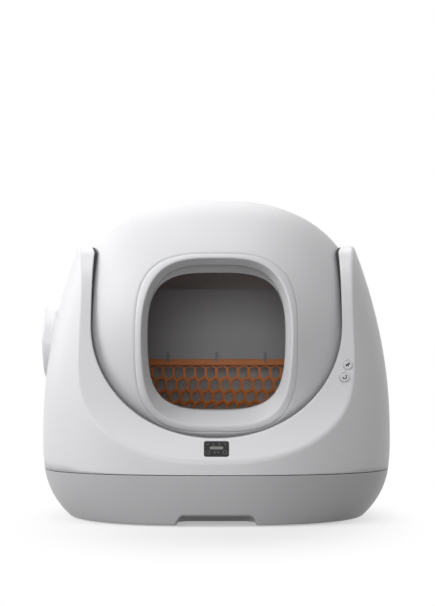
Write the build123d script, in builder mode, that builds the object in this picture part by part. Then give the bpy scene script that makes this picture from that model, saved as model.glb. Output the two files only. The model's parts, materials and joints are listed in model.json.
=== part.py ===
from build123d import *

import os
from math import atan2, cos, degrees, floor, pi, radians, sin

os.makedirs("parts", exist_ok=True)

# Self-cleaning litter box. X is to the right seen from the entrance, Y to the back, Z up.
# The drum turns about a level axis along X, in a cradle over a waste drawer.

# Housing form
half_width = 300.0
half_depth = 250.0
arm_rise = 149.0
seam_height = 81.0
ground_lift = 2.0
shell_wall = 3.5
plan_power = 2.5
plan_points = 24
overrun = 20.0
fit = 0.3

# Taper of the housing above and below its widest level, in half widths and half depths
belt_height = 150.0
top_width_share = 0.203
top_depth_share = 0.04
foot_width_share = 0.167
foot_depth_share = 0.025
top_power = 2.0
foot_power = 3.5
base_sections = 6
shell_sections = 8
section_lap = 20.0

# Side view of the collar, over the arms and down the back, in half depths and arm heights
collar_shares = (
    (-1.048, 0.182),
    (-0.912, 0.294),
    (-0.796, 0.422),
    (-0.746, 0.552),
    (-0.708, 0.70),
    (-0.468, 0.955),
    (-0.30, 0.993),
    (0.0, 1.0),
    (0.30, 0.993),
    (0.468, 0.955),
    (0.74, 0.70),
    (0.90, 0.54),
    (1.048, 0.45),
)
collar_slope_share = 1.1

# Opening of the collar round the drum
collar_lap = 32.0
collar_drop_share = 0.744
collar_lift_share = 0.044
collar_power = 2.05
collar_points = 17
collar_reach_share = 0.4

# Drum
drum_lift = 80.0
drum_front_room = 17.0
drum_bulge_room = 45.0
drum_power = 2.4
drum_side_room = 62.0
drum_stations = 17
drum_wall = 4.0
running_gap = 8.0
cradle_wall = 3.0

# Entrance ring and litter guard
entry_side_room = 107.0
entry_height_share = 0.58
entry_drop_share = 0.088
entry_power = 3.4
entry_points = 32
ring_proud = 3.0
ring_depth = 30.0
ring_front_rise_share = 0.508
ring_front_drop_share = 1.012
ring_back_share = 0.52
ring_back_room = 34.0
ring_back_rise_share = 0.384
ring_back_drop_share = 0.396
guard_wall = 3.0
guard_room = 16.0
guard_rise_share = 0.376
guard_drop_share = 0.528

# Rear baffle and sieve
baffle_share = 0.6
baffle_wall = 4.0
baffle_rise_share = 0.348
baffle_droop_share = 0.144
baffle_flat_room = 126.0
sieve_drop_share = 0.172
sieve_bar = 12.0
sieve_radius_share = 0.42
sieve_sweep = 52.0
sieve_run_share = 0.512
sieve_wall = 4.0
cell_pitch = 20.0
cell_row = 25.0
cell_web = 4.5
cell_peak = 4.0
cell_skew_share = 0.18
cell_shift_share = 0.32
cell_margin = 8.0
clip_spread = 90.0
clip_width = 5.0
clip_height = 18.0
clip_depth = 6.0
clip_lap = 5.0

# Axles, bushes and drive
axle_radius = 10.0
hub_radius = 45.0
hub_thickness = 5.0
bush_wall = 3.0
bush_length = 16.0
boss_wall = 4.0
running_fit = 0.05
gear_module = 2.0
gear_teeth = 36
pinion_teeth = 16
gear_width = 9.0
addendum_share = 0.8
dedendum_share = 1.2
tip_share = 0.17
root_share = 0.58
drive_clear = 3.0
cover_radius = 63.0
cover_wall = 3.0
cover_skirt = 26.0
cover_dome = 8.0
cover_proud = 4.0
plate_thickness = 3.0
motor_radius = 18.5
motor_length = 25.0
motor_nose_radius = 7.0
motor_shaft_radius = 3.0
motor_shaft_depth = 10.0
screw_radius = 1.5
screw_head_radius = 3.0
screw_head = 2.0
screw_circle = 13.0

# Base, drawer and feet
drawer_split = 10.0
drawer_gap = 1.0
base_floor = 8.0
base_plate = 3.0
tongue_front_share = 0.74
frame_gap = 10.0
frame_wall = 4.0
frame_length_share = 0.48
runner_inset = 34.0
runner_width = 12.0
runner_height = 1.9
runner_room = 7.0
runner_clear = 0.1
tray_wall = 3.0
tray_width_share = 19 / 30
tray_back_share = 0.64
bin_gap = 5.0
bin_front_share = 0.78
bin_corner = 44.0
bin_wall = 2.0
bin_height = 48.0
bag_ring_height = 2.5
bag_ring_lap = 4.0
chute_width = 190.0
chute_length_share = 0.6
chute_corner = 20.0
grip_half_width = 63.0
grip_top = 17.7
grip_depth = 28.0
grip_wall = 3.0
grip_corner = 11.0
grip_back_bottom = 6.0
foot_radius = 17.0
foot_height = 5.0
foot_across_share = 0.5
foot_along_share = 0.62
foot_round = 1.5
cell_block = 34.0

# Controls and electronics
display_width = 40.0
display_height = 29.0
display_corner = 4.0
display_wall = 2.5
display_z = 122.0
board_wall = 1.6
button_radius = 7.3
button_flange = 1.6
button_flange_wall = 1.5
button_travel = 1.2
button_clear = 0.35
upper_button_out = 7.6
upper_button_drop = 57.5
lower_button_out = 2.0
lower_button_drop = 77.3
button_board_width = 16.0
button_board_height = 50.0
button_stem = 1.5
stem_radius = 2.0
control_length_share = 0.44
control_height_share = 0.32
control_drop_share = 0.2
standoff_radius = 3.0
standoff_length = 17.0
standoff_inset = 6.0
inlet_z = 110.0
inlet_width = 14.0
inlet_height = 11.0
inlet_length = 14.0
inlet_bore = 2.75
inlet_pin = 1.0
inlet_depth = 9.0
sensor_size = 10.0
sensor_share = 0.32
sensor_wall = 3.0
magnet_radius = 5.0
magnet_wall = 2.5

# Drum and arms, from the housing's half width and half depth
drum_radius = half_depth - drum_front_room
drum_bulge = half_width - drum_bulge_room
drum_half_width = half_width - drum_side_room
axis_height = drum_lift + drum_radius
drum_axis = Axis((0, 0, axis_height), (1, 0, 0))
arm_top = axis_height + arm_rise

# Way of the collar, entrance and guard, from the drum
collar_half_width = drum_half_width - collar_lap
collar_drop = collar_drop_share * half_depth
collar_centre = axis_height + collar_lift_share * half_depth
collar_reach = collar_reach_share * half_depth
entry_half_width = drum_half_width - entry_side_room
entry_half_height = entry_height_share * half_depth
entry_centre = axis_height - entry_drop_share * half_depth
ring_back_half_width = entry_half_width - ring_back_room
ring_ends = (
    (half_depth, entry_half_width, ring_front_rise_share, ring_front_drop_share),
    (ring_back_share * half_depth, ring_back_half_width, ring_back_rise_share, ring_back_drop_share),
)
guard_half_width = entry_half_width - guard_room
guard_centre = axis_height + (guard_rise_share - guard_drop_share) * half_depth / 2
guard_half_height = (guard_rise_share + guard_drop_share) * half_depth / 2

# Baffle, sieve, sensor and control board, from the drum
baffle_y = baffle_share * half_depth
baffle_top = axis_height + baffle_rise_share * half_depth
baffle_droop = baffle_droop_share * half_depth
baffle_flat = drum_half_width - baffle_flat_room
sieve_top = axis_height - sieve_drop_share * half_depth
sieve_radius = sieve_radius_share * half_depth
sieve_run = sieve_run_share * half_depth
sensor_radius = sensor_share * half_depth
control_board_length = control_length_share * half_depth
control_board_height = control_height_share * half_depth
control_board_z = axis_height - control_drop_share * half_depth
upper_button_x = collar_half_width + upper_button_out
upper_button_z = axis_height - upper_button_drop
lower_button_x = collar_half_width + lower_button_out
lower_button_z = axis_height - lower_button_drop
cover_face = half_width + cover_proud

# Base, drawer and feet, from the housing
tray_half_width = tray_width_share * half_width
tray_back = tray_back_share * half_depth
tongue_half_width = tray_half_width
tongue_front = tongue_front_share * half_depth
frame_inner = tray_half_width + frame_gap
frame_half_length = frame_length_share * half_depth
runner_place = tray_half_width - runner_inset
runner_half_length = tongue_front - runner_room
bin_front = bin_front_share * half_depth
bin_back = tray_back - bin_gap
bin_width = 2 * (tray_half_width - bin_gap)
bin_length = bin_front + bin_back
bin_centre = (bin_back - bin_front) / 2
chute_length = chute_length_share * half_depth
foot_across = foot_across_share * half_width
foot_along = foot_along_share * half_depth


def superellipse(half_across, half_along, power, count, centre=0):
    """Points round a closed curve with |x / across| ** power + |y / along| ** power = 1."""
    points = []
    for step in range(count):
        turn = 2 * pi * step / count
        across = abs(cos(turn)) / half_across
        along = abs(sin(turn)) / half_along
        radius = (across**power + along**power) ** (-1 / power)
        points.append((radius * cos(turn), centre + radius * sin(turn)))
    return points


def body_taper(height, top_share, foot_share):
    """Share of the widest section left at a height: a power curve up and another down."""
    if height > belt_height:
        return 1 - top_share * ((height - belt_height) / (arm_top - belt_height)) ** top_power
    return 1 - foot_share * ((belt_height - height) / belt_height) ** foot_power


def body_form(inset, low, high, count):
    """Outer form of the housing between two levels, drawn in by inset all round."""
    with BuildPart() as form:
        for step in range(count):
            height = low + (high - low) * step / (count - 1)
            across = half_width * body_taper(height, top_width_share, foot_width_share) - inset
            along = half_depth * body_taper(height, top_depth_share, foot_depth_share) - inset
            with BuildSketch(Plane.XY.offset(height)):
                with BuildLine():
                    Spline(superellipse(across, along, plan_power, plan_points), periodic=True)
                make_face()
        loft()
    return form.part


def base_solid(inset):
    """Lower part of the housing's form, up to just over the seam."""
    return body_form(inset, 0, seam_height + section_lap, base_sections)


def shell_solid(inset):
    """Upper part of the housing's form, from just under the seam to over the arms."""
    return body_form(inset, seam_height - section_lap, arm_top + section_lap, shell_sections)


def collar_side(inset):
    """Side view of the housing under the collar and arms, swept across the width."""
    step_in = inset * collar_slope_share
    profile = []
    for along_share, height_share in collar_shares:
        along = along_share * half_depth
        slide = step_in * max(-1, min(1, along_share / collar_shares[-4][0]))
        profile.append((along - slide, height_share * arm_top - inset * (1 - abs(along_share))))
    with BuildPart() as form:
        with BuildSketch(Plane.YZ):
            with BuildLine():
                crown = Spline(profile)
                front = (profile[0][0], -overrun)
                back = (profile[-1][0], -overrun)
                Polyline(crown @ 1, back, front, crown @ 0)
            make_face()
        extrude(amount=half_width + overrun, both=True)
    return form.part


def collar_tunnel(grow):
    """U-shaped way through the front of the housing, where the drum shows."""
    points = []
    for step in range(collar_points):
        turn = pi + pi * step / (collar_points - 1)
        across = abs(cos(turn)) ** (2 / collar_power)
        across = across if cos(turn) > 0 else -across
        drop = abs(sin(turn)) ** (2 / collar_power)
        points.append(((collar_half_width + grow) * across, collar_centre - (collar_drop + grow) * drop))
    with BuildPart() as form:
        with BuildSketch(Plane.XZ.offset(collar_reach)):
            with BuildLine():
                bowl = Spline(points)
                right = (collar_half_width + grow, arm_top + overrun)
                left = (-collar_half_width - grow, arm_top + overrun)
                Polyline(bowl @ 1, right, left, bowl @ 0)
            make_face()
        extrude(amount=half_depth + overrun - collar_reach)
    return form.part


def drum_form(grow):
    """Drum turned about its axis, made larger by grow: a superellipse crown between flat ends."""
    end = drum_half_width + grow
    crown_points = []
    for step in range(drum_stations):
        across = end * (2 * step / (drum_stations - 1) - 1)
        crown_points.append((across, axis_height + crown_radius(across, grow)))
    with BuildPart() as form:
        with BuildSketch(Plane.XZ):
            with BuildLine():
                crown = Spline(crown_points)
                Polyline(crown @ 1, (end, axis_height), (-end, axis_height), crown @ 0)
            make_face()
        revolve(axis=drum_axis)
    return form.part


def crown_radius(across, grow):
    """Radius of the drum, made larger by grow, at a distance across from the middle."""
    reach = abs(across) / (drum_bulge + grow)
    return (drum_radius + grow) * (1 - reach**drum_power) ** (1 / drum_power)


def drum_reach(radius, grow):
    """Distance across at which the drum, made larger by grow, has the given radius."""
    rise = radius / (drum_radius + grow)
    return (drum_bulge + grow) * (1 - rise**drum_power) ** (1 / drum_power)


def entry_block(grow):
    """Rounded-square block through the drum's front, the outline of the entrance ring."""
    with BuildPart() as form:
        with BuildSketch(Plane.XZ):
            with BuildLine():
                across = entry_half_width + grow
                along = entry_half_height + grow
                Spline(superellipse(across, along, entry_power, entry_points, entry_centre), periodic=True)
            make_face()
        extrude(amount=half_depth + overrun)
    return form.part


def entry_funnel():
    """Entrance opening that narrows inwards, most at the sill."""
    with BuildPart() as form:
        for depth, across, rise_share, drop_share in ring_ends:
            with BuildSketch(Plane.XZ.offset(depth)):
                with BuildLine():
                    centre = axis_height + (rise_share - drop_share) * half_depth / 2
                    along = (rise_share + drop_share) * half_depth / 2
                    Spline(superellipse(across, along, entry_power, entry_points, centre), periodic=True)
                make_face()
        loft()
    return form.part


def gear_outline(teeth):
    """Corner points of a spur gear with straight flanks, the first tooth centred on +X."""
    pitch_radius = gear_module * teeth / 2
    tooth = 2 * pi / teeth
    tip = pitch_radius + addendum_share * gear_module
    root = pitch_radius - dedendum_share * gear_module
    points = []
    for index in range(teeth):
        middle = index * tooth
        for radius, share in ((root, -root_share), (tip, -tip_share), (tip, tip_share), (root, root_share)):
            turn = middle + share * tooth / 2
            points.append((radius * cos(turn), radius * sin(turn)))
    return points


def collar_depth(height):
    """Distance from the middle to the front of the collar at a height, between outline points."""
    share = height / arm_top
    for (near, low), (far, high) in zip(collar_shares, collar_shares[1:]):
        if low <= share <= high:
            return -half_depth * (near + (far - near) * (share - low) / (high - low))


base_outer = base_solid(0)
base_inner = base_solid(shell_wall)
body_outer = shell_solid(0)
body_inner = shell_solid(shell_wall)
body_liner = shell_solid(shell_wall + fit)
drum_outer = drum_form(0)
drum_inner = drum_form(-drum_wall)
drum_room = drum_form(-drum_wall - fit)
drum_clear = drum_form(running_gap)
cradle_outer = drum_form(running_gap + cradle_wall)
cradle_seat = drum_form(running_gap + cradle_wall + fit)
tunnel_outer = collar_tunnel(0)
tunnel_inner = collar_tunnel(shell_wall)
tunnel_liner = collar_tunnel(shell_wall + fit)
side_outer = collar_side(0)
side_inner = collar_side(shell_wall)
side_liner = collar_side(shell_wall + fit)
full_span = 2 * (half_width + overrun)

# Places worked out from the driving sizes
cradle_end = drum_half_width + running_gap + cradle_wall
boss_start = drum_half_width + running_gap
bush_radius = axle_radius + running_fit + bush_wall
gear_inner = cover_face - cover_dome - cover_wall - drive_clear - gear_width
centre_distance = gear_module * (gear_teeth + pinion_teeth) / 2
pinion_height = axis_height - centre_distance
gear_tip = gear_module * (gear_teeth / 2 + addendum_share)
pinion_tip = gear_module * (pinion_teeth / 2 + addendum_share)
cover_height = (axis_height + gear_tip + pinion_height - pinion_tip) / 2
plate_outer = gear_inner - drive_clear
plate_inner = plate_outer - plate_thickness
base_top = base_floor + base_plate
tray_floor = base_top + runner_height + runner_clear
tray_top = tray_floor + tray_wall
display_y = -collar_depth(display_z)
(low_along_share, low_height_share), (high_along_share, high_height_share) = collar_shares[:2]
collar_rise = (high_height_share - low_height_share) * arm_top
collar_run = (high_along_share - low_along_share) * half_depth
display_slope = degrees(atan2(collar_rise, collar_run))
display_plane = Plane(
    origin=(0, display_y, display_z),
    x_dir=(1, 0, 0),
    z_dir=(0, -sin(radians(display_slope)), cos(radians(display_slope))),
)
button_places = {
    "button_upper": (upper_button_x, upper_button_z),
    "button_lower": (lower_button_x, lower_button_z),
}
button_hole = button_radius + button_clear

# Room inside the outer shell, and the same room with a fit for the cradle
with BuildPart() as shell_room:
    add(body_inner)
    add(side_inner, mode=Mode.INTERSECT)
    add(tunnel_inner, mode=Mode.SUBTRACT)

with BuildPart() as liner_room:
    add(body_liner)
    add(side_liner, mode=Mode.INTERSECT)
    add(tunnel_liner, mode=Mode.SUBTRACT)

# Outer shell: skirt, arms and collar in one moulding, open towards the drum
with BuildPart() as outer_shell:
    add(body_outer)
    add(side_outer, mode=Mode.INTERSECT)
    add(tunnel_outer, mode=Mode.SUBTRACT)
    add(shell_room.part, mode=Mode.SUBTRACT)
    add(drum_clear, mode=Mode.SUBTRACT)
    split(bisect_by=Plane.XY.offset(seam_height), keep=Keep.TOP)
    with BuildSketch(Plane.YZ.offset(-half_width - overrun)):
        with Locations((0, cover_height)):
            Circle(cover_radius + fit)
    extrude(amount=half_width + overrun - cradle_end, mode=Mode.SUBTRACT)
    with BuildSketch(display_plane):
        RectangleRounded(display_width + 2 * fit, display_height + 2 * fit, display_corner + fit)
    extrude(amount=2 * shell_wall, both=True, mode=Mode.SUBTRACT)
    with BuildSketch(Plane.XZ.offset(collar_depth(lower_button_z) + overrun)):
        with Locations(*button_places.values()):
            Circle(button_hole)
    extrude(amount=-2 * overrun, mode=Mode.SUBTRACT)
    with BuildSketch(Plane.XZ.offset(-half_depth - overrun)):
        with Locations((0, inlet_z)):
            Rectangle(inlet_width + 2 * fit, inlet_height + 2 * fit)
    extrude(amount=2 * overrun, mode=Mode.SUBTRACT)
outer_shell.part.label = "outer_shell"

# Cradle: bowl round the lower half of the drum, with the waste chute and the bearing bosses
with BuildPart() as drum_cradle:
    add(cradle_outer)
    add(drum_clear, mode=Mode.SUBTRACT)
    add(liner_room.part, mode=Mode.INTERSECT)
    with BuildSketch():
        RectangleRounded(chute_width, chute_length, chute_corner)
    extrude(amount=axis_height, mode=Mode.SUBTRACT)
    for side in (Plane.YZ.offset(boss_start), Plane.ZY.offset(boss_start)):
        flipped = side.z_dir.X < 0
        centre = (axis_height, 0) if flipped else (0, axis_height)
        with BuildSketch(side):
            with Locations(centre):
                Circle(bush_radius + fit + boss_wall)
        extrude(amount=bush_length)
        with BuildSketch(side):
            with Locations(centre):
                Circle(bush_radius + running_fit)
        extrude(amount=bush_length, mode=Mode.SUBTRACT)
drum_cradle.part.label = "drum_cradle"

# Lower form of the housing, between the ground and the seam
with BuildPart() as base_form:
    add(base_outer)
    split(bisect_by=Plane.XY.offset(seam_height), keep=Keep.BOTTOM)
    split(bisect_by=Plane.XY.offset(ground_lift), keep=Keep.TOP)

# Room inside the base tub, above and below its floor
with BuildPart() as tub_room:
    add(base_inner)
    with BuildSketch(Plane.XY.offset(base_floor)):
        Rectangle(full_span, full_span)
    extrude(amount=base_plate, mode=Mode.SUBTRACT)

# Base tub: rear half of the grey base, with the floor that runs forward under the drawer
with BuildPart() as base_tub:
    add(base_form.part)
    split(bisect_by=Plane.XZ.offset(-drawer_split), keep=Keep.BOTTOM)
    add(tub_room.part, mode=Mode.SUBTRACT)
    for half_across, front in (
        (tongue_half_width, tongue_front),
        (frame_inner + 2 * frame_wall, frame_half_length + frame_wall),
    ):
        with BuildSketch(Plane.XY.offset(base_floor)):
            with Locations((0, (drawer_split - front) / 2)):
                Rectangle(2 * half_across, drawer_split + front)
        extrude(amount=base_plate)
base_tub.part.label = "base_tub"

# Side frames: upright plates from the floor to the cradle, each side of the drawer
side_frames = []
for name, place in (("side_frame_left", -frame_inner - frame_wall), ("side_frame_right", frame_inner)):
    with BuildPart() as side_frame:
        with BuildSketch(Plane.XY.offset(base_top)):
            with Locations((place + frame_wall / 2, 0)):
                Rectangle(frame_wall, 2 * frame_half_length)
        extrude(amount=axis_height - base_top)
        add(cradle_seat, mode=Mode.SUBTRACT)
    side_frame.part.label = name
    side_frames.append(side_frame)

# Runners: low-friction strips on the floor that the drawer slides on
with BuildPart() as drawer_runners:
    with BuildSketch(Plane.XY.offset(base_top)):
        with Locations((-runner_place, 0), (runner_place, 0)):
            Rectangle(runner_width, 2 * runner_half_length)
    extrude(amount=runner_height)
drawer_runners.part.label = "drawer_runners"

# Feet, and the weighing cells that stand on them
with BuildPart() as rubber_feet:
    with BuildSketch():
        with GridLocations(2 * foot_across, 2 * foot_along, 2, 2):
            Circle(foot_radius)
    extrude(amount=foot_height)
    chamfer(rubber_feet.faces().group_by(Axis.Z)[0].edges(), foot_round)
rubber_feet.part.label = "rubber_feet"

with BuildPart() as load_cells:
    with BuildSketch(Plane.XY.offset(foot_height)):
        with GridLocations(2 * foot_across, 2 * foot_along, 2, 2):
            Rectangle(cell_block, cell_block)
    extrude(amount=base_floor - foot_height)
load_cells.part.label = "load_cells"

# Room inside the waste drawer's front, round its tray and the pocket of the finger grip
with BuildPart() as drawer_room:
    add(base_inner)
    with BuildSketch(Plane.XY.offset(tray_floor)):
        with Locations((0, (tray_back - half_depth) / 2)):
            Rectangle(2 * tray_half_width, tray_back + half_depth)
    extrude(amount=tray_wall, mode=Mode.SUBTRACT)
    with BuildSketch(Plane.XY.offset(grip_back_bottom)):
        with Locations((0, (grip_depth + grip_wall) / 2 - half_depth)):
            Rectangle(2 * (grip_half_width + grip_wall), grip_depth + grip_wall)
    extrude(amount=grip_top + grip_wall - grip_back_bottom, mode=Mode.SUBTRACT)

# Waste drawer: front half of the grey base with a finger grip, and the tray behind it
with BuildPart() as drawer_front:
    add(base_form.part)
    split(bisect_by=Plane.XY.offset(seam_height - drawer_gap), keep=Keep.BOTTOM)
    split(bisect_by=Plane.XZ.offset(-drawer_split + drawer_gap), keep=Keep.TOP)
    add(drawer_room.part, mode=Mode.SUBTRACT)
    with BuildSketch(Plane.XY.offset(tray_floor)):
        with Locations((0, tray_back / 2)):
            Rectangle(2 * tray_half_width, tray_back)
    extrude(amount=tray_wall)
    with BuildSketch(Plane.XZ.offset(half_depth + overrun)) as grip:
        with BuildLine():
            Polyline(
                (-grip_half_width, 0),
                (-grip_half_width + grip_corner, grip_top),
                (grip_half_width - grip_corner, grip_top),
                (grip_half_width, 0),
                close=True,
            )
        make_face()
        fillet(grip.vertices().group_by(Axis.Y)[-1], grip_corner / 2)
    extrude(amount=-overrun - grip_depth, mode=Mode.SUBTRACT)
drawer_front.part.label = "drawer_front"

# Waste bin on the drawer's tray, and the ring that holds the bag over its rim
with BuildPart() as waste_bin:
    with BuildSketch(Plane.XY.offset(tray_top)):
        with Locations((0, bin_centre)):
            RectangleRounded(bin_width, bin_length, bin_corner)
    extrude(amount=bin_height)
    with BuildSketch(Plane.XY.offset(tray_top + bin_wall)):
        with Locations((0, bin_centre)):
            RectangleRounded(bin_width - 2 * bin_wall, bin_length - 2 * bin_wall, bin_corner - bin_wall)
    extrude(amount=bin_height, mode=Mode.SUBTRACT)
waste_bin.part.label = "waste_bin"

ring_lap = bin_wall + bag_ring_lap
with BuildPart() as bag_ring:
    with BuildSketch(Plane.XY.offset(tray_top + bin_height)):
        with Locations((0, bin_centre)):
            RectangleRounded(bin_width, bin_length, bin_corner)
            RectangleRounded(
                bin_width - 2 * ring_lap, bin_length - 2 * ring_lap, bin_corner - ring_lap, mode=Mode.SUBTRACT
            )
    extrude(amount=bag_ring_height)
bag_ring.part.label = "bag_ring"

# Drum shell with its entrance cut
entry_cut = entry_block(fit)
with BuildPart() as drum_shell:
    add(drum_outer)
    add(drum_inner, mode=Mode.SUBTRACT)
    add(entry_cut, mode=Mode.SUBTRACT)
drum_shell.part.label = "drum_shell"

# Entrance ring: rim that follows the drum's crown, with a funnelled wall inside
entry_outline = entry_block(0)
ring_crown = drum_form(ring_proud)
ring_back = drum_form(-ring_depth)
ring_opening = entry_funnel()
with BuildPart() as entrance_ring:
    add(entry_outline)
    add(ring_crown, mode=Mode.INTERSECT)
    add(ring_back, mode=Mode.SUBTRACT)
    add(ring_opening, mode=Mode.SUBTRACT)
entrance_ring.part.label = "entrance_ring"

# Litter guard: inner lip behind the ring that keeps litter off the rim
guard_front = drum_form(-ring_depth - fit)
guard_back = drum_form(-ring_depth - fit - guard_wall)
with BuildPart() as litter_guard:
    add(entry_outline)
    add(guard_front, mode=Mode.INTERSECT)
    add(guard_back, mode=Mode.SUBTRACT)
    with BuildSketch(Plane.XZ):
        with BuildLine():
            Spline(
                superellipse(guard_half_width, guard_half_height, entry_power, entry_points, guard_centre),
                periodic=True,
            )
        make_face()
    extrude(amount=half_depth, mode=Mode.SUBTRACT)
litter_guard.part.label = "litter_guard"

# Rear baffle: wall across the drum that keeps clean litter behind it
with BuildPart() as rear_baffle:
    with BuildSketch(Plane.XZ.offset(-baffle_y - baffle_wall)) as baffle_face:
        with BuildLine():
            Polyline(
                (-drum_bulge, sieve_top),
                (-drum_bulge, baffle_top - 2 * baffle_droop),
                (-baffle_flat, baffle_top),
                (baffle_flat, baffle_top),
                (drum_bulge, baffle_top - 2 * baffle_droop),
                (drum_bulge, sieve_top),
                close=True,
            )
        make_face()
        fillet(baffle_face.vertices().group_by(Axis.Y)[-1], baffle_droop)
    extrude(amount=baffle_wall)
    add(drum_room, mode=Mode.INTERSECT)
rear_baffle.part.label = "rear_baffle"

# Sieve: plate from the baffle down to the drum's floor, pierced by skewed six-sided cells in rows
sieve_bend = sieve_top - sieve_bar
bend_y = baffle_y + sieve_wall / 2 - sieve_radius
bend_length = sieve_radius * radians(sieve_sweep)
outer_bend = sieve_radius + sieve_wall / 2
inner_bend = sieve_radius - sieve_wall / 2
half_cell = (cell_pitch - cell_web) / 2
half_row = (cell_row + cell_peak - cell_web) / 2
cell_skew = cell_skew_share * cell_pitch


def sieve_point(radius, angle, run=0):
    """Point at a radius of the sieve's bend, turned down by an angle, then along the tangent."""
    turn = radians(angle)
    along = bend_y + radius * cos(turn) - run * sin(turn)
    return (along, sieve_bend - radius * sin(turn) - run * cos(turn))


def sieve_curve(radius):
    """Start, middle and end of the sieve's bend at a radius."""
    return [sieve_point(radius, sieve_sweep * step / 2) for step in range(3)]


with BuildPart() as sieve:
    with BuildSketch(Plane.YZ):
        with BuildLine():
            outer_arc = ThreePointArc(*sieve_curve(outer_bend))
            inner_arc = ThreePointArc(*sieve_curve(inner_bend))
            outer_end = sieve_point(outer_bend, sieve_sweep, sieve_run)
            inner_end = sieve_point(inner_bend, sieve_sweep, sieve_run)
            outer_top = (bend_y + outer_bend, sieve_top)
            inner_top = (bend_y + inner_bend, sieve_top)
            Polyline(outer_arc @ 1, outer_end, inner_end, inner_arc @ 1)
            Polyline(outer_arc @ 0, outer_top, inner_top, inner_arc @ 0)
        make_face()
    extrude(amount=drum_bulge, both=True)
    add(drum_room, mode=Mode.INTERSECT)
    for row in range(int((bend_length + sieve_run) / cell_row)):
        travel = (row + 1 / 2) * cell_row
        angle = min(sieve_sweep, degrees(travel / sieve_radius))
        along, height = sieve_point(sieve_radius, angle, max(0, travel - bend_length))
        low_radius = (along**2 + (axis_height - height) ** 2) ** 0.5 + half_row
        span = drum_reach(low_radius, -drum_wall) - cell_margin - cell_pitch
        columns = floor(span / cell_pitch)
        shift = cell_pitch * (row * cell_shift_share % 1 - 1 / 2)
        row_normal = (0, -cos(radians(angle)), sin(radians(angle)))
        with BuildSketch(Plane(origin=(0, along, height), x_dir=(1, 0, 0), z_dir=row_normal)):
            with Locations(*[(cell_pitch * step + shift, 0) for step in range(-columns, columns + 1)]):
                Polygon(
                    (-half_cell, cell_peak - half_row),
                    (-cell_skew, -half_row),
                    (half_cell, cell_peak - half_row),
                    (half_cell, half_row - cell_peak),
                    (cell_skew, half_row),
                    (-half_cell, half_row - cell_peak),
                    align=None,
                )
        extrude(amount=2 * sieve_wall, both=True, mode=Mode.SUBTRACT)
sieve.part.label = "sieve"

# Clips that hold the sieve's top bar to the baffle
with BuildPart() as sieve_clips:
    with BuildSketch(Plane.XZ.offset(-baffle_y)):
        with Locations(*[(clip_spread * step, sieve_top - clip_lap) for step in (-1, 0, 1)]):
            Rectangle(clip_width, clip_height, align=(Align.CENTER, Align.MIN))
    extrude(amount=clip_depth)
sieve_clips.part.label = "sieve_clips"

# Hubs: flanges on the drum's ends, with the axles that turn in the bushes
sides = (("left", Plane.ZY, (axis_height, 0)), ("right", Plane.YZ, (0, axis_height)))
axle_ends = {"left": gear_inner + gear_width, "right": boss_start + bush_length}
hubs = []
for name, side, centre in sides:
    with BuildPart() as hub:
        with BuildSketch(side.offset(drum_half_width)):
            with Locations(centre):
                Circle(hub_radius)
        extrude(amount=hub_thickness)
        with BuildSketch(side.offset(drum_half_width)):
            with Locations(centre):
                Circle(axle_radius)
        extrude(amount=axle_ends[name] - drum_half_width)
    hub.part.label = f"hub_{name}"
    hubs.append(hub)

# Bushes in the cradle's bosses
bushes = []
for name, side, centre in sides:
    with BuildPart() as bush:
        with BuildSketch(side.offset(boss_start)):
            with Locations(centre):
                Circle(bush_radius)
                Circle(axle_radius + running_fit, mode=Mode.SUBTRACT)
        extrude(amount=bush_length)
    bush.part.label = f"bush_{name}"
    bushes.append(bush)

# Drive: gear on the left axle and pinion on the gearmotor's shaft, both under the round cover
with BuildPart() as drum_gear:
    with BuildSketch(Plane.ZY.offset(gear_inner)):
        with Locations((axis_height, 0)):
            Polygon(*gear_outline(gear_teeth), align=None)
            Circle(axle_radius + running_fit, mode=Mode.SUBTRACT)
    extrude(amount=gear_width)
drum_gear.part.label = "drum_gear"

# The pinion is turned half a tooth, so that a gap faces the gear's tooth
pinion_turn = 180 + 180 / pinion_teeth if gear_teeth % 2 == 0 else 180
with BuildPart() as drive_pinion:
    with BuildSketch(Plane.ZY.offset(gear_inner)):
        with Locations(Location((pinion_height, 0, 0), (0, 0, pinion_turn))):
            Polygon(*gear_outline(pinion_teeth), align=None)
    extrude(amount=gear_width)
    with BuildSketch(Plane.ZY.offset(plate_inner - motor_shaft_depth)):
        with Locations((pinion_height, 0)):
            Circle(motor_shaft_radius)
    extrude(amount=gear_inner - plate_inner + motor_shaft_depth)
drive_pinion.part.label = "drive_pinion"

with BuildPart() as drive_plate:
    with BuildSketch(Plane.ZY.offset(plate_inner)):
        with Locations((cover_height, 0)):
            Circle(cover_radius - cover_wall - fit)
        with Locations((axis_height, 0)):
            Circle(axle_radius + drive_clear, mode=Mode.SUBTRACT)
        with Locations((pinion_height, 0)):
            Circle(motor_nose_radius, mode=Mode.SUBTRACT)
            with PolarLocations(screw_circle, 3):
                Circle(screw_radius + running_fit, mode=Mode.SUBTRACT)
    extrude(amount=plate_thickness)
drive_plate.part.label = "drive_plate"

with BuildPart() as gearmotor:
    with BuildSketch(Plane.ZY.offset(plate_inner - motor_length)):
        with Locations((pinion_height, 0)):
            Circle(motor_radius)
    extrude(amount=motor_length)
    with BuildSketch(Plane.ZY.offset(plate_inner - motor_shaft_depth)):
        with Locations((pinion_height, 0)):
            Circle(motor_shaft_radius + running_fit)
            with PolarLocations(screw_circle, 3):
                Circle(screw_radius + running_fit)
    extrude(amount=motor_shaft_depth, mode=Mode.SUBTRACT)
gearmotor.part.label = "gearmotor"

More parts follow.
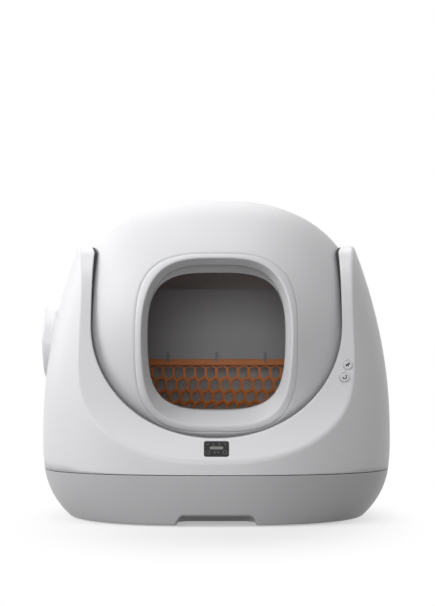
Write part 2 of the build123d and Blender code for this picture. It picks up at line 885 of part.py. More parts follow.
with BuildPart() as motor_screws:
    with BuildSketch(Plane.ZY.offset(plate_outer)):
        with Locations((pinion_height, 0)):
            with PolarLocations(screw_circle, 3):
                Circle(screw_head_radius)
    extrude(amount=screw_head)
    with BuildSketch(Plane.ZY.offset(plate_inner - motor_shaft_depth)):
        with Locations((pinion_height, 0)):
            with PolarLocations(screw_circle, 3):
                Circle(screw_radius)
    extrude(amount=plate_outer - plate_inner + motor_shaft_depth)
motor_screws.part.label = "motor_screws"

# Round drive cover: a domed cap with a skirt that sits in the shell's left wall
cover_rim = cover_face - cover_dome
cover_axis = Axis((0, 0, cover_height), (1, 0, 0))
with BuildPart() as drive_cover:
    with BuildSketch(Plane.XZ):
        with BuildLine():
            dome = ThreePointArc(
                (-cover_face, cover_height),
                (-cover_face + cover_dome / 4, cover_height + cover_radius / 2),
                (-cover_rim, cover_height + cover_radius),
            )
            Polyline(
                dome @ 1,
                (-cover_rim + cover_skirt, cover_height + cover_radius),
                (-cover_rim + cover_skirt, cover_height + cover_radius - cover_wall),
                (-cover_rim + cover_wall, cover_height + cover_radius - cover_wall),
                (-cover_face + cover_wall, cover_height),
                dome @ 0,
            )
        make_face()
    revolve(axis=cover_axis)
drive_cover.part.label = "drive_cover"

# Display: smoked window flush in the collar, with its board behind
with BuildPart() as display_window:
    with BuildSketch(display_plane):
        RectangleRounded(display_width, display_height, display_corner)
    extrude(amount=-display_wall)
display_window.part.label = "display_window"

with BuildPart() as display_board:
    with BuildSketch(display_plane.offset(-display_wall)):
        Rectangle(display_width - 2 * display_corner, display_height - 2 * display_corner)
    extrude(amount=-board_wall)
display_board.part.label = "display_board"

# Two push buttons on the right arm, each with a flange behind the shell and a stem to the board
button_top = upper_button_z + button_radius + button_flange
button_back = collar_depth(button_top) - shell_wall * collar_slope_share - fit
buttons = []
for name, place in button_places.items():
    with BuildPart() as button:
        with BuildSketch(Plane.XZ.offset(button_back)):
            with Locations(place):
                Circle(button_radius)
        extrude(amount=collar_depth(place[1] - button_radius) + fit - button_back)
        with BuildSketch(Plane.XZ.offset(button_back)):
            with Locations(place):
                Circle(button_radius + button_flange)
        extrude(amount=-button_flange_wall)
        with BuildSketch(Plane.XZ.offset(button_back - button_flange_wall)):
            with Locations(place):
                Circle(stem_radius)
        extrude(amount=-button_stem)
    button.part.label = name
    buttons.append(button)

# Boards: switches behind the buttons, and the controller on standoffs beside the right bearing
board_front = button_back - button_flange_wall - button_stem - button_travel - fit
board_centre = ((upper_button_x + lower_button_x) / 2, (upper_button_z + lower_button_z) / 2)
with BuildPart() as button_board:
    with BuildSketch(Plane.XZ.offset(board_front)):
        with Locations(board_centre):
            Rectangle(button_board_width, button_board_height)
    extrude(amount=-board_wall)
    with BuildSketch(Plane.XZ.offset(board_front)):
        with Locations(board_centre):
            with GridLocations(0, button_board_height - 2 * stem_radius, 1, 2):
                Circle(stem_radius)
    extrude(amount=overrun)
    add(liner_room.part, mode=Mode.INTERSECT)
    add(cradle_seat, mode=Mode.SUBTRACT)
button_board.part.label = "button_board"

with BuildPart() as board_standoffs:
    with BuildSketch(Plane.YZ.offset(cradle_end)):
        with Locations((0, control_board_z)):
            with GridLocations(
                control_board_length - 2 * standoff_inset, control_board_height - 2 * standoff_inset, 2, 2
            ):
                Circle(standoff_radius)
    extrude(amount=standoff_length)
board_standoffs.part.label = "board_standoffs"

with BuildPart() as control_board:
    with BuildSketch(Plane.YZ.offset(cradle_end + standoff_length)):
        with Locations((0, control_board_z)):
            Rectangle(control_board_length, control_board_height)
    extrude(amount=board_wall)
control_board.part.label = "control_board"

# Power inlet in the back of the shell
inlet_back = half_depth - running_fit
with BuildPart() as power_inlet:
    with BuildSketch(Plane.XZ.offset(-inlet_back)):
        with Locations((0, inlet_z)):
            Rectangle(inlet_width, inlet_height)
    extrude(amount=inlet_length)
    with BuildSketch(Plane.XZ.offset(-inlet_back)):
        with Locations((0, inlet_z)):
            Circle(inlet_bore)
            Circle(inlet_pin, mode=Mode.SUBTRACT)
    extrude(amount=inlet_depth, mode=Mode.SUBTRACT)
power_inlet.part.label = "power_inlet"

# Position sensor on the cradle's left end, and the magnet that passes it on the drum
sensor_height = axis_height - sensor_radius
with BuildPart() as position_sensor:
    with BuildSketch(Plane.ZY.offset(boss_start - sensor_wall)):
        with Locations((sensor_height, 0)):
            Rectangle(sensor_size, sensor_size)
    extrude(amount=sensor_wall)
position_sensor.part.label = "position_sensor"

with BuildPart() as drum_magnet:
    with BuildSketch(Plane.ZY.offset(drum_half_width)):
        with Locations((sensor_height, 0)):
            Circle(magnet_radius)
    extrude(amount=magnet_wall)
drum_magnet.part.label = "drum_magnet"

pieces = [
    base_tub, *side_frames, drawer_runners, rubber_feet, load_cells, outer_shell, drum_cradle, *bushes,
    drive_cover, drive_plate, gearmotor, motor_screws, drive_pinion, display_window, display_board,
    *buttons, button_board, board_standoffs, control_board, power_inlet, position_sensor, drum_shell,
    entrance_ring, litter_guard, rear_baffle, sieve, sieve_clips, *hubs, drum_gear, drum_magnet,
    drawer_front, waste_bin, bag_ring,
]
for piece in pieces:
    export_step(piece.part, f"parts/{piece.part.label}.step")
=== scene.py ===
import json

import bpy
import numpy as np
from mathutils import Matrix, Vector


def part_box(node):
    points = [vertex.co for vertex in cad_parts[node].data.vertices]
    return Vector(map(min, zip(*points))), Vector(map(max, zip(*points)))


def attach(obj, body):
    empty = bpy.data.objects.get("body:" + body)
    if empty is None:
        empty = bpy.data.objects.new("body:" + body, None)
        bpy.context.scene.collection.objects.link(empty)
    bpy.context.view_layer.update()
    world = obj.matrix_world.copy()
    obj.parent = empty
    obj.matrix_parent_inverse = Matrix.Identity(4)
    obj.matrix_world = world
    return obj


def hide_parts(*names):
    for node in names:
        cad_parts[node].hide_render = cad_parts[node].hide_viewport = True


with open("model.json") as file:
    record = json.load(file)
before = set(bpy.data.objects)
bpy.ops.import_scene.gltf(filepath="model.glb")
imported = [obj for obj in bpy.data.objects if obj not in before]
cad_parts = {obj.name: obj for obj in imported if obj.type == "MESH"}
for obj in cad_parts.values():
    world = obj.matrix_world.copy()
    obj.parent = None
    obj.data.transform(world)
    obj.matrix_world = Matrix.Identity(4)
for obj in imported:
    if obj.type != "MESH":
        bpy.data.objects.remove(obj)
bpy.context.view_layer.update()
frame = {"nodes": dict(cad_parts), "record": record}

# Outer shell: skirt, two arms and the collar round the drum, moulded in one from white satin ABS.
# One skin runs up the wall, over a soft crease, across the collar and into the way to the drum.
# It is then given its wall thickness, and the button holes are cut through it.
housing_half_width = 300
housing_half_depth = 250
widest_height = 150
arm_top = 462
top_width_taper = 0.203
top_depth_taper = 0.04
foot_width_tuck = 0.167
foot_depth_tuck = 0.025
foot_tuck_power = 3.5
plan_power = 2.5
seam_height = 81
shell_wall = 3.5
crease_round = 5.5
lip_round = 2
drum_half_width = 255
drum_radius = 233
drum_power = 2.4
drum_axis = 313
running_gap = 8
way_half_width = 206
way_top = 324
way_drop = 186
way_power = 2.05
way_front = -100
way_turn_in = 3


def linear(code):
    """Linear colour of an sRGB hex code: each channel over 255, with the sRGB curve undone."""
    channel = np.array([int(code[start : start + 2], 16) for start in (1, 3, 5)]) / 255
    light = np.where(channel <= 0.04045, channel / 12.92, ((channel + 0.055) / 1.055) ** 2.4)
    return (*light, 1.0)


def add_node(tree, kind, values=(), links=(), **settings):
    """New node of a kind: settings are its properties, values its free sockets, links its linked ones."""
    node = tree.nodes.new(kind)
    for name, value in settings.items():
        setattr(node, name, value)
    for name, value in dict(values).items():
        node.inputs[name].default_value = value
    for name, socket in dict(links).items():
        tree.links.new(socket, node.inputs[name])
    return node


def new_tree(name):
    """Material of a name with an empty node tree; gives the material and the tree."""
    material = bpy.data.materials.new(name)
    material.use_nodes = True
    material.node_tree.nodes.clear()
    return material, material.node_tree


def plastic(name, colour, roughness, grain, refraction=1.53):
    """Moulded plastic in one colour: a noise as coarse as the mould's grain, in mm, shifts the roughness
    by 0.05 either way and lifts a faint bump of a tenth of the grain."""
    # A spark-eroded grain is about 0.1 mm: it is drawn several times as coarse, so that it shows.
    material, tree = new_tree(name)
    place = add_node(tree, "ShaderNodeTexCoord")
    noise = add_node(
        tree,
        "ShaderNodeTexNoise",
        {"Scale": 1000 / grain, "Detail": 3.0},
        {"Vector": place.outputs["Object"]},
    )
    gloss = add_node(
        tree,
        "ShaderNodeMapRange",
        {"To Min": roughness - 0.05, "To Max": roughness + 0.05},
        {"Value": noise.outputs["Fac"]},
    )
    bump = add_node(
        tree,
        "ShaderNodeBump",
        {"Strength": 0.08, "Distance": grain / 10 / 1000},
        {"Height": noise.outputs["Fac"]},
    )
    shader = add_node(
        tree,
        "ShaderNodeBsdfPrincipled",
        {"Base Color": linear(colour), "IOR": refraction},
        {"Roughness": gloss.outputs["Result"], "Normal": bump.outputs["Normal"]},
    )
    add_node(tree, "ShaderNodeOutputMaterial", links={"Surface": shader.outputs["BSDF"]})
    return material


def grid_mesh(name, *grids, around=False, first=False, last=False):
    """Mesh on grids of points in mm: a quad between each four neighbours. Around joins each row's ends,
    first and last close those rows with one face each."""
    faces = []
    begin = 0
    for grid in grids:
        rows, columns = grid.shape[:2]
        numbers = begin + np.arange(rows * columns).reshape(rows, columns)
        begin += rows * columns
        wide = np.concatenate((numbers, numbers[:, :1]), axis=1) if around else numbers
        quads = np.stack((wide[:-1, :-1], wide[:-1, 1:], wide[1:, 1:], wide[1:, :-1]), axis=-1)
        faces += quads.reshape(-1, 4).tolist()
        faces += [numbers[0, ::-1].tolist()] * first + [numbers[-1].tolist()] * last
    points = np.concatenate([grid.reshape(-1, 3) for grid in grids])
    mesh = bpy.data.meshes.new(name)
    mesh.from_pydata(points / 1000, [], faces)
    mesh.polygons.foreach_set("use_smooth", np.ones(len(faces), bool))
    mesh.update()
    return mesh


def put(name, mesh, body, materials, nodes=()):
    """New piece from a mesh: it rides on a body, takes its finish from a slot and stands for CAD nodes."""
    piece = bpy.data.objects.new(name, mesh)
    bpy.context.scene.collection.objects.link(piece)
    for material in materials:
        mesh.materials.append(material)
    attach(piece, body)
    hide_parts(*nodes)
    return piece


def thicken(piece, thickness, inner=0):
    """Wall of a piece, in mm, built to the inside of its skin; inner shifts the material within."""
    wall = piece.modifiers.new("wall", "SOLIDIFY")
    wall.thickness = thickness / 1000
    wall.offset = -1
    wall.material_offset = inner
    wall.material_offset_rim = inner


def half_spans(height):
    """Half width and half depth of the housing: full at its widest height, less a square law above it
    and a power law below."""
    above = np.clip(height - widest_height, 0, None) / (arm_top - widest_height)
    below = np.clip(widest_height - height, 0, None) / widest_height
    width = 1 - top_width_taper * above**2 - foot_width_tuck * below**foot_tuck_power
    depth = 1 - top_depth_taper * above**2 - foot_depth_tuck * below**foot_tuck_power
    return np.stack((housing_half_width * width, housing_half_depth * depth), axis=-1)


def spline(points, count):
    """Points evenly along a natural cubic spline: the straight share between two knots plus cubic
    terms in the second slopes, which come from one linear system."""
    chord = np.concatenate(([0], np.cumsum(np.linalg.norm(np.diff(points, axis=0), axis=1))))
    step = np.diff(chord)
    inner = np.arange(1, len(points) - 1)
    matrix = np.eye(len(points))
    matrix[inner, inner - 1] = step[:-1]
    matrix[inner, inner] = 2 * (step[:-1] + step[1:])
    matrix[inner, inner + 1] = step[1:]
    kink = np.zeros_like(points)
    kink[1:-1] = 6 * np.diff(np.diff(points, axis=0) / step[:, None], axis=0)
    bend = np.linalg.solve(matrix, kink)
    along = np.linspace(0, chord[-1], count)
    span = np.clip(np.searchsorted(chord, along, side="right") - 1, 0, len(step) - 1)
    far = ((along - chord[span]) / step[span])[:, None]
    near = 1 - far
    cubic = (near**3 - near) * bend[span] + (far**3 - far) * bend[span + 1]
    return near * points[span] + far * points[span + 1] + cubic * step[span, None] ** 2 / 6


def drum_reach(radius, grow):
    """Distance across at which the drum, larger by grow, has a radius: a superellipse of the two."""
    rise = np.clip(radius / (drum_radius + grow), 0, 1)
    return (drum_half_width + grow) * (1 - rise**drum_power) ** (1 / drum_power)


def drum_front(across, height, grow):
    """Y of the drum's front, larger by grow: with the height over the axis it makes a right triangle whose
    long side is the drum's radius at a place across."""
    reach = np.clip(np.abs(across) / (drum_half_width + grow), 0, 1)
    radius = (drum_radius + grow) * (1 - reach**drum_power) ** (1 / drum_power)
    return -np.sqrt(np.clip(radius**2 - (height - drum_axis) ** 2, 0, None))


def rounded(start, corner, end, count):
    """Rows of a rounded corner: a parabola that leaves start towards corner and meets end from it."""
    share = np.linspace(0, 1, count + 1)[1:, None, None]
    return list((1 - share) ** 2 * start + 2 * share * (1 - share) * corner + share**2 * end)


side_view = np.array(
    [
        (-262, 84.1),
        (-228, 135.8),
        (-199, 195),
        (-186.5, 255),
        (-177, 323.4),
        (-117, 441.2),
        (-75, 458.8),
        (0, arm_top),
        (75, 458.8),
        (117, 441.2),
        (185, 323.4),
        (225, 249.5),
        (262, 207.9),
    ]
)
collar = spline(side_view, 2401)
collar_y, collar_z = collar.T
collar_width, collar_depth = half_spans(collar_z).T
inside_plan = np.clip(1 - np.abs(collar_y / collar_depth) ** plan_power, 0, None)
crease_x = collar_width * inside_plan ** (1 / plan_power)
drop = np.clip((way_top - collar_z) / way_drop, 0, 1)
way_x = np.where(collar_y < 0, way_half_width * (1 - drop**way_power) ** (1 / way_power), 0)
edge_x = np.maximum(way_x, drum_reach(np.hypot(collar_y, collar_z - drum_axis), running_gap))


def collar_loop(across):
    """Half loop on the collar, from its front tip over an arm to its back tip: steps along the collar
    eased by a cosine, so that they are finer near the tips."""
    held = np.flatnonzero(across > 0)
    middle = len(across) // 2
    ease = 1 - np.cos(np.linspace(0, np.pi / 2, 90))
    rising = held[0] + (middle - held[0]) * ease
    falling = held[-1] - (held[-1] - middle) * ease[::-1]
    steps = np.concatenate((rising, falling[1:]))
    lines = (across, collar_y, collar_z)
    points = np.stack([np.interp(steps, np.arange(len(across)), line) for line in lines], axis=-1)
    points[[0, -1], 0] = 0
    return points


crease = collar_loop(crease_x)
edge = collar_loop(edge_x)
plan = crease[:, :2] / half_spans(crease[:, 2])
band = np.linalg.norm(edge - crease, axis=1)


def wall_row(height):
    """Row of the wall: the plan's shares times the half spans at a height for each column."""
    return np.concatenate((half_spans(height) * plan, height[:, None]), axis=1)


def collar_row(share):
    """Row of the collar, at a share of the way from crease to inner edge for each column."""
    x, y, _ = (crease + (edge - crease) * share[:, None]).T
    return np.stack((x, y, np.interp(y, collar_y, collar_z)), axis=-1)


# Near the loop's tips, where the collar is narrow, both roundings shrink with it.
soft = np.minimum(crease_round, np.minimum(0.35 * band, 0.45 * (crease[:, 2] - seam_height)))
wall_rise = crease[:, 2] - soft - seam_height
lip = np.minimum(lip_round, 0.2 * band)
flat_band = band - soft - lip
shell_rows = [wall_row(seam_height + wall_rise * share) for share in np.linspace(0, 1, 22)]
shell_rows += rounded(shell_rows[-1], crease, collar_row(soft / band), 10)
shell_rows += [collar_row((soft + flat_band * share) / band) for share in np.linspace(0, 1, 14)[1:]]
collar_slope = np.gradient(collar, axis=0)
collar_slope /= np.linalg.norm(collar_slope, axis=1)[:, None]
edge_slope_y = np.interp(edge[:, 1], collar_y, collar_slope[:, 0])
edge_slope_z = np.interp(edge[:, 1], collar_y, collar_slope[:, 1])
inward = np.stack((0 * edge_slope_y, edge_slope_z, -edge_slope_y), axis=-1)
near_drum = np.maximum(drum_front(edge[:, 0], edge[:, 2], running_gap), edge[:, 1])
way_depth = np.where(edge[:, 1] < way_front, near_drum, edge[:, 1])
way_end = np.stack((edge[:, 0], way_depth, edge[:, 2]), axis=-1) + way_turn_in * inward
lip_end = edge + lip[:, None] * inward
shell_rows += rounded(shell_rows[-1], edge, lip_end, 6)
shell_rows += [lip_end + (way_end - lip_end) * share for share in np.linspace(0, 1, 8)[1:]]
half_shell = np.stack(shell_rows)
other_half = half_shell[:, -2:0:-1] * (-1, 1, 1)
# Satin ABS from a finely eroded mould: a soft sheen along the curves and no mirror image.
white_abs = plastic("satin_white_abs", "#E6E6E8", 0.38, 0.6)
shell_mesh = grid_mesh("shell", np.concatenate((half_shell, other_half), axis=1), around=True)
shell = put("shell", shell_mesh, "housing", [white_abs], ["outer_shell"])
thicken(shell, shell_wall)

# Waste drawer: the front half of the base in light grey ABS, with a finger grip in its lower edge.
# Its skin follows the housing's foot from the seam down, and turns in at the grip as a pocket.
drawer_top = 80
base_wall = 3
foot_clear = 2
top_round = 0.5
foot_round = 2
foot_turn_in = 4
foot_half_width = 256
grip_rise = 15.7
grip_pocket = 24
grip_half_width = 46
grip_run = 20
grip_power = 2.4
pocket_hem = 6


def foot_columns(turn):
    """Plan of the base as shares of the half spans: a superellipse, with its radius at each turn."""
    radius = (np.abs(np.cos(turn)) ** plan_power + np.abs(np.sin(turn)) ** plan_power) ** (-1 / plan_power)
    return np.stack((radius * np.cos(turn), radius * np.sin(turn)), axis=-1)


def foot_row(columns, height, inset):
    """Row of the base's skin: the plan's shares times the half spans at a height, less an inset."""
    heights = np.broadcast_to(height, len(columns))
    spans = half_spans(heights) - np.broadcast_to(inset, len(columns))[:, None]
    return np.concatenate((columns * spans, heights[:, None]), axis=1)


def foot_skin(columns, top, bottom, pocket):
    """Skin of the base from its top edge to its lower edge, both rounded, then in by a pocket's depth
    and down to a hem at the pocket's back."""
    side_top = top - top_round
    side_fall = side_top - bottom - foot_round
    rows = [foot_row(columns, top, top_round)]
    rows += rounded(rows[-1], foot_row(columns, top, 0), foot_row(columns, side_top, 0), 5)
    for share in np.linspace(0, 1, 26)[1:]:
        rows.append(foot_row(columns, side_top - side_fall * share, 0))
    rows += rounded(rows[-1], foot_row(columns, bottom, 0), foot_row(columns, bottom, foot_round), 6)
    for share in np.linspace(0, 1, 6)[1:]:
        rows.append(foot_row(columns, bottom, foot_round + (pocket - foot_round) * share))
    rows.append(foot_row(columns, np.minimum(bottom, pocket_hem), pocket + 1))
    return np.stack(rows)


front_turn = 1.5 * np.pi
drawer_end = 0.036
coarse_turn = np.linspace(-np.pi / 2 - drawer_end, -0.3, 90)
fine_turn = np.linspace(-0.29, 0, 110)
left_turn = np.concatenate((coarse_turn, fine_turn))
drawer_turn = np.concatenate((front_turn + left_turn, front_turn - left_turn[-2::-1]))
drawer_columns = foot_columns(drawer_turn)
past_grip = np.abs(drawer_columns[:, 0] * foot_half_width) - grip_half_width
grip = 1 - np.clip(past_grip / grip_run, 0, 1) ** grip_power
drawer_skin = foot_skin(
    drawer_columns, drawer_top, foot_clear + grip_rise * grip, foot_turn_in + grip_pocket * grip
)
# Grey ABS from the same kind of mould: a little duller than the shell, so that the base recedes.
grey_abs = plastic("moulded_grey_abs", "#BDBDBF", 0.42, 0.6)
drawer_mesh = grid_mesh("drawer", drawer_skin[:, ::-1])
drawer = put("drawer", drawer_mesh, "drawer", [grey_abs], ["drawer_front"])
thicken(drawer, base_wall)

# Tray of the drawer: a flat shelf of the same grey ABS under the bin, moulded with the front.
# Its front edge follows the inside of the drawer's front, and its back edge is straight.
tray_half_width = 190
tray_top = 16
tray_back = 160
plan_inside_x = 246
plan_inside_y = 241
tray_x = np.linspace(-tray_half_width, tray_half_width, 60)
tray_front = -plan_inside_y * (1 - (np.abs(tray_x) / plan_inside_x) ** plan_power) ** (1 / plan_power)
tray_y = np.stack((0 * tray_x + tray_back, tray_front))
tray_grid = np.stack(np.broadcast_arrays(tray_x, tray_y, tray_top), axis=-1)
tray = put("drawer_tray", grid_mesh("drawer_tray", tray_grid), "drawer", [grey_abs])
thicken(tray, base_wall)

# Base tub: the rear half of the base, in the same grey ABS, with the floor that runs under the drawer.
# Its wall is the drawer's skin without a grip, carried round the back; the floor is cut to its inside.
tub_end = 0.04
floor_top = 11
floor_front = -185
frame_front = -124
frame_back = 10
frame_half_width = 208
tub_columns = foot_columns(np.linspace(np.pi - tub_end, tub_end, 180))
tub_mesh = grid_mesh("base", foot_skin(tub_columns, seam_height, foot_clear, foot_turn_in))
base = put("base", tub_mesh, "housing", [grey_abs], ["base_tub"])
thicken(base, base_wall)
rear_y = np.array([frame_back, *np.linspace(12, 240, 40)])
rear_x = plan_inside_x * (1 - (rear_y / plan_inside_y) ** plan_power) ** (1 / plan_power)
base_floor_y = np.array([floor_front, frame_front, frame_front, frame_back, *rear_y])
base_floor_x = np.array([tray_half_width] * 2 + [frame_half_width] * 2 + [*rear_x])
floor_sides = base_floor_x[:, None] * (-1, 1)
floor_grid = np.stack(np.broadcast_arrays(floor_sides, base_floor_y[:, None], floor_top), axis=-1)
base_floor_mesh = grid_mesh("base_floor", floor_grid[::-1])
base_floor = put("base_floor", base_floor_mesh, "housing", [grey_abs])
thicken(base_floor, base_wall)

# Drum: a moulded white ABS shell with a grey liner within, which turns about a level axis.
# Its skin spreads from the entrance's outline to a point at the back, each point on a ray from the middle.
drum_flat_end = 238
drum_wall = 4
entry_half_width = 131
entry_half_height = 145
entry_centre = 291
entry_power = 3.4
fit_gap = 0.3


def drum_point(tilt, spin):
    """Point of the drum on a ray from its middle, tilted from the front and spun about it: the ray's
    length makes the superellipse between reach and radius equal one, short of the flat ends."""
    ray = np.stack((np.sin(tilt) * np.cos(spin), -np.cos(tilt), np.sin(tilt) * np.sin(spin)), axis=-1)
    reach = np.abs(ray[..., 0]) / drum_half_width
    radius = np.hypot(ray[..., 1], ray[..., 2]) / drum_radius
    length = (reach**drum_power + radius**drum_power) ** (-1 / drum_power)
    length = np.minimum(length, drum_flat_end / np.maximum(np.abs(ray[..., 0]), 1e-6))
    return ray * length[..., None] + (0, 0, drum_axis)


round_entry = np.linspace(0, 2 * np.pi, 240, endpoint=False)


def halved(low, high, past):
    """Value between low and high, for each place round the entrance, from which past is true: the span
    that holds it is halved 40 times."""
    under = np.full(len(round_entry), float(low))
    over = np.full(len(round_entry), float(high))
    for _ in range(40):
        middle = (under + over) / 2
        beyond = past(middle)
        over = np.where(beyond, middle, over)
        under = np.where(beyond, under, middle)
    return middle


def outside_entry(tilt):
    """True where the drum's point at a tilt is outside the entrance: a superellipse's sum is over one."""
    x, _, z = drum_point(tilt, round_entry).T
    wide = np.abs(x / (entry_half_width + fit_gap)) ** entry_power
    high = np.abs((z - entry_centre) / (entry_half_height + fit_gap)) ** entry_power
    return wide + high > 1


entry_tilt = halved(0.1, 1.4, outside_entry)
# The rows stop just short of the point at the back, and one small face closes them.
back_tilt = np.pi - 0.004
drum_shares = np.linspace(0, 1, 110)[:, None]
drum_grid = drum_point(entry_tilt + (back_tilt - entry_tilt) * drum_shares, round_entry)
# Grained ABS, duller than the shell: light runs off softly, so that the crown looks smooth and full.
drum_abs = plastic("grained_white_abs", "#E4E4E6", 0.5, 0.6)
# Liner of coarse-grained ABS: no sheen, so that the inside falls off into shade.
liner_abs = plastic("coarse_grey_liner_abs", "#D2CBC8", 0.6, 0.8)
drum_mesh = grid_mesh("drum", drum_grid[:, ::-1], around=True, last=True)
drum = put("drum", drum_mesh, "drum", [drum_abs, liner_abs], ["drum_shell"])
thicken(drum, drum_wall, 1)

# Entrance ring: a white ABS bead on the drum's crown with a funnelled wall inside, moulded in one.
# A profile is carried round the entrance: up the bead, over it, down the funnel and back behind.
ring_depth = 30
bead_height = 3
bead_start = 0.5
funnel_inner_depth = 130
funnel_outer_depth = 250
funnel_inner_half_width = 97
funnel_outer_half_width = 131
funnel_inner_top = 409
funnel_outer_top = 440
funnel_inner_bottom = 214
funnel_outer_bottom = 60
entry_rim = (entry_half_width, entry_half_height, entry_centre)


def outline(half_width, half_height, centre):
    """Places across and heights round a superellipse, with its radius at each place round the entrance."""
    wide = np.abs(np.cos(round_entry) / half_width) ** entry_power
    high = np.abs(np.sin(round_entry) / half_height) ** entry_power
    radius = (wide + high) ** (-1 / entry_power)
    return radius * np.cos(round_entry), centre + radius * np.sin(round_entry)


def rim_row(half_width, half_height, centre, grow):
    """Row where an outline meets the drum's crown, larger by grow."""
    x, z = outline(half_width, half_height, centre)
    return np.stack((x, drum_front(x, z, grow), z), axis=-1)


def funnel_outline(depth):
    """Outline of the funnel at a depth in front of the axis: its half width, top and bottom go in a
    straight line from the inner to the outer one."""
    share = (depth - funnel_inner_depth) / (funnel_outer_depth - funnel_inner_depth)
    half_width = funnel_inner_half_width + (funnel_outer_half_width - funnel_inner_half_width) * share
    top = funnel_inner_top + (funnel_outer_top - funnel_inner_top) * share
    bottom = funnel_inner_bottom + (funnel_outer_bottom - funnel_inner_bottom) * share
    return outline(half_width, (top - bottom) / 2, (top + bottom) / 2)


def funnel_row(grow):
    """Row where the funnel meets the drum's crown, larger by grow: the depth is found by halving."""

    def before_crown(depth):
        return -drum_front(*funnel_outline(depth), grow) < depth

    depth = halved(120, 265, before_crown)
    x, z = funnel_outline(depth)
    return np.stack((x, -depth, z), axis=-1)


bead_outer = rim_row(*entry_rim, bead_height)
bead_inner = funnel_row(bead_height)
bead_top = (bead_outer + bead_inner) / 2
ring_rows = [rim_row(*entry_rim, -ring_depth), rim_row(*entry_rim, bead_start)]
ring_rows += rounded(ring_rows[-1], bead_outer, bead_top, 8)
ring_rows += rounded(ring_rows[-1], bead_inner, funnel_row(0), 8)
ring_rows += [funnel_row(-ring_depth * share) for share in np.linspace(0, 1, 12)[1:]]
ring_rows.append(ring_rows[0])
ring_mesh = grid_mesh("ring", np.stack(ring_rows)[:, ::-1], around=True)
put("ring", ring_mesh, "drum", [drum_abs], ["entrance_ring"])

# Litter guard: a thin ABS lip, painted mid grey for the shade it lies in, held behind the ring in the
# drum's entrance.
# Its flat profile is carried round the entrance and follows the drum's crown.
guard_wall = 3
guard_round = 1
guard_half_width = 112
guard_half_height = 111.5
guard_centre = 295
guard_front = -ring_depth - fit_gap
guard_back = guard_front - guard_wall
guard_rim = (guard_half_width, guard_half_height, guard_centre)
guard_soft_rim = (guard_half_width + guard_round, guard_half_height + guard_round, guard_centre)
guard_rows = [
    rim_row(*entry_rim, guard_front),
    rim_row(*guard_soft_rim, guard_front),
    rim_row(*guard_rim, guard_front - guard_round),
    rim_row(*guard_rim, guard_back),
    rim_row(*entry_rim, guard_back),
    rim_row(*entry_rim, guard_front),
]
# Coarse-grained ABS darkened to mid grey by painted shade: a quiet step between the white ring and the dark
# inside.
guard_shade_abs = plastic("guard_abs_with_painted_shade", "#8E8C8D", 0.5, 0.8)
guard_mesh = grid_mesh("guard", np.stack(guard_rows)[:, ::-1], around=True)
put("guard", guard_mesh, "drum", [guard_shade_abs], ["litter_guard"])

# Sieve: a terracotta ABS plate that hangs from the baffle and bends forward to the drum's floor.
# Six-sided cells, each a frame round a hole, are laid side by side on the bent plate.
# A straight bar with rounded corners runs along the plate's top.
plate_half = 2
plate_length = 208
plate_margin = 2
plate_top = 258
bend_radius = 105
bend_y = 47
bend_angle = np.radians(52)
cell_pitch = 20
row_pitch = 25
row_shift = 0.32
cell_rows = 8
cell_side_columns = 13
edge_web = 14
hole_share = (0.77, 0.79)
bar_half_length = 200
bar_half_depth = 3
bar_half_height = 6
bar_y = 151
bar_z = 264
bar_corner_power = 0.35


def sieve_point(across, travel, depth):
    """Point on the plate: travel runs down from the top, round a bend and on along its tangent; depth
    is off the plate's middle towards the entrance. Across stops short of the drum's inside."""
    angle = np.clip(travel / bend_radius, 0, bend_angle)
    run = np.clip(travel - bend_radius * bend_angle, 0, None)
    y = bend_y + (bend_radius - depth) * np.cos(angle) - run * np.sin(angle)
    z = plate_top - (bend_radius - depth) * np.sin(angle) - run * np.cos(angle)
    limit = drum_reach(np.hypot(y, z - drum_axis), -drum_wall - fit_gap)
    return np.stack((np.clip(across, -limit, limit), y, z), axis=-1)


cell_row = np.arange(cell_rows)[:, None]
cell_column = np.arange(-cell_side_columns, cell_side_columns + 1)[None, :]
centre_x = cell_pitch * (cell_column + cell_row * row_shift % 1 - 0.5)
centre_travel = row_pitch / 2 + row_pitch * cell_row + 0 * cell_column
centres = np.stack((centre_x, centre_travel), axis=-1).reshape(-1, 1, 2)
# Corners of one skewed six-sided cell, about its centre.
cell = np.array([(-10, -8.5), (3.6, -16.5), (10, -8.5), (10, 8.5), (-3.6, 16.5), (-10, 8.5)])
cell_outer = centres + cell
cell_hole = centres + cell * hole_share
cell_outer[..., 1] = np.clip(cell_outer[..., 1], 0, plate_length)
cell_hole[..., 1] = np.clip(cell_hole[..., 1], plate_margin, plate_length - plate_margin)
plate_reach = sieve_point(0 * centres[..., 0] + housing_half_width, centres[..., 1], 0)[..., 0]
pierced = np.abs(centres[:, 0, 0]) + edge_web < plate_reach[:, 0]
cell_corners = np.concatenate((cell_outer, cell_hole), axis=1)
front_face = sieve_point(cell_corners[..., 0], cell_corners[..., 1], plate_half)
back_face = sieve_point(cell_corners[..., 0], cell_corners[..., 1], -plate_half)
sieve_points = np.concatenate((front_face, back_face), axis=1)
cell_start = sieve_points.shape[1] * np.arange(len(sieve_points))[:, None, None]
# Each cell has 6 outer corners and 6 round its hole in front, and the same 12 behind.
this = np.arange(6)
following = (this + 1) % 6
face_rim = np.stack((following, this, this + 6, following + 6), axis=-1)
hole_wall = np.stack((following + 6, this + 6, this + 18, following + 18), axis=-1)
open_faces = np.concatenate((face_rim, hole_wall, face_rim[:, ::-1] + 12))
shut_faces = np.stack((this[::-1], this + 12))
sieve_faces = (cell_start[pierced] + open_faces).reshape(-1, 4).tolist()
sieve_faces += (cell_start[~pierced] + shut_faces).reshape(-1, 6).tolist()
sieve_mesh = bpy.data.meshes.new("sieve")
sieve_mesh.from_pydata(sieve_points.reshape(-1, 3) / 1000, [], sieve_faces)
sieve_mesh.update()
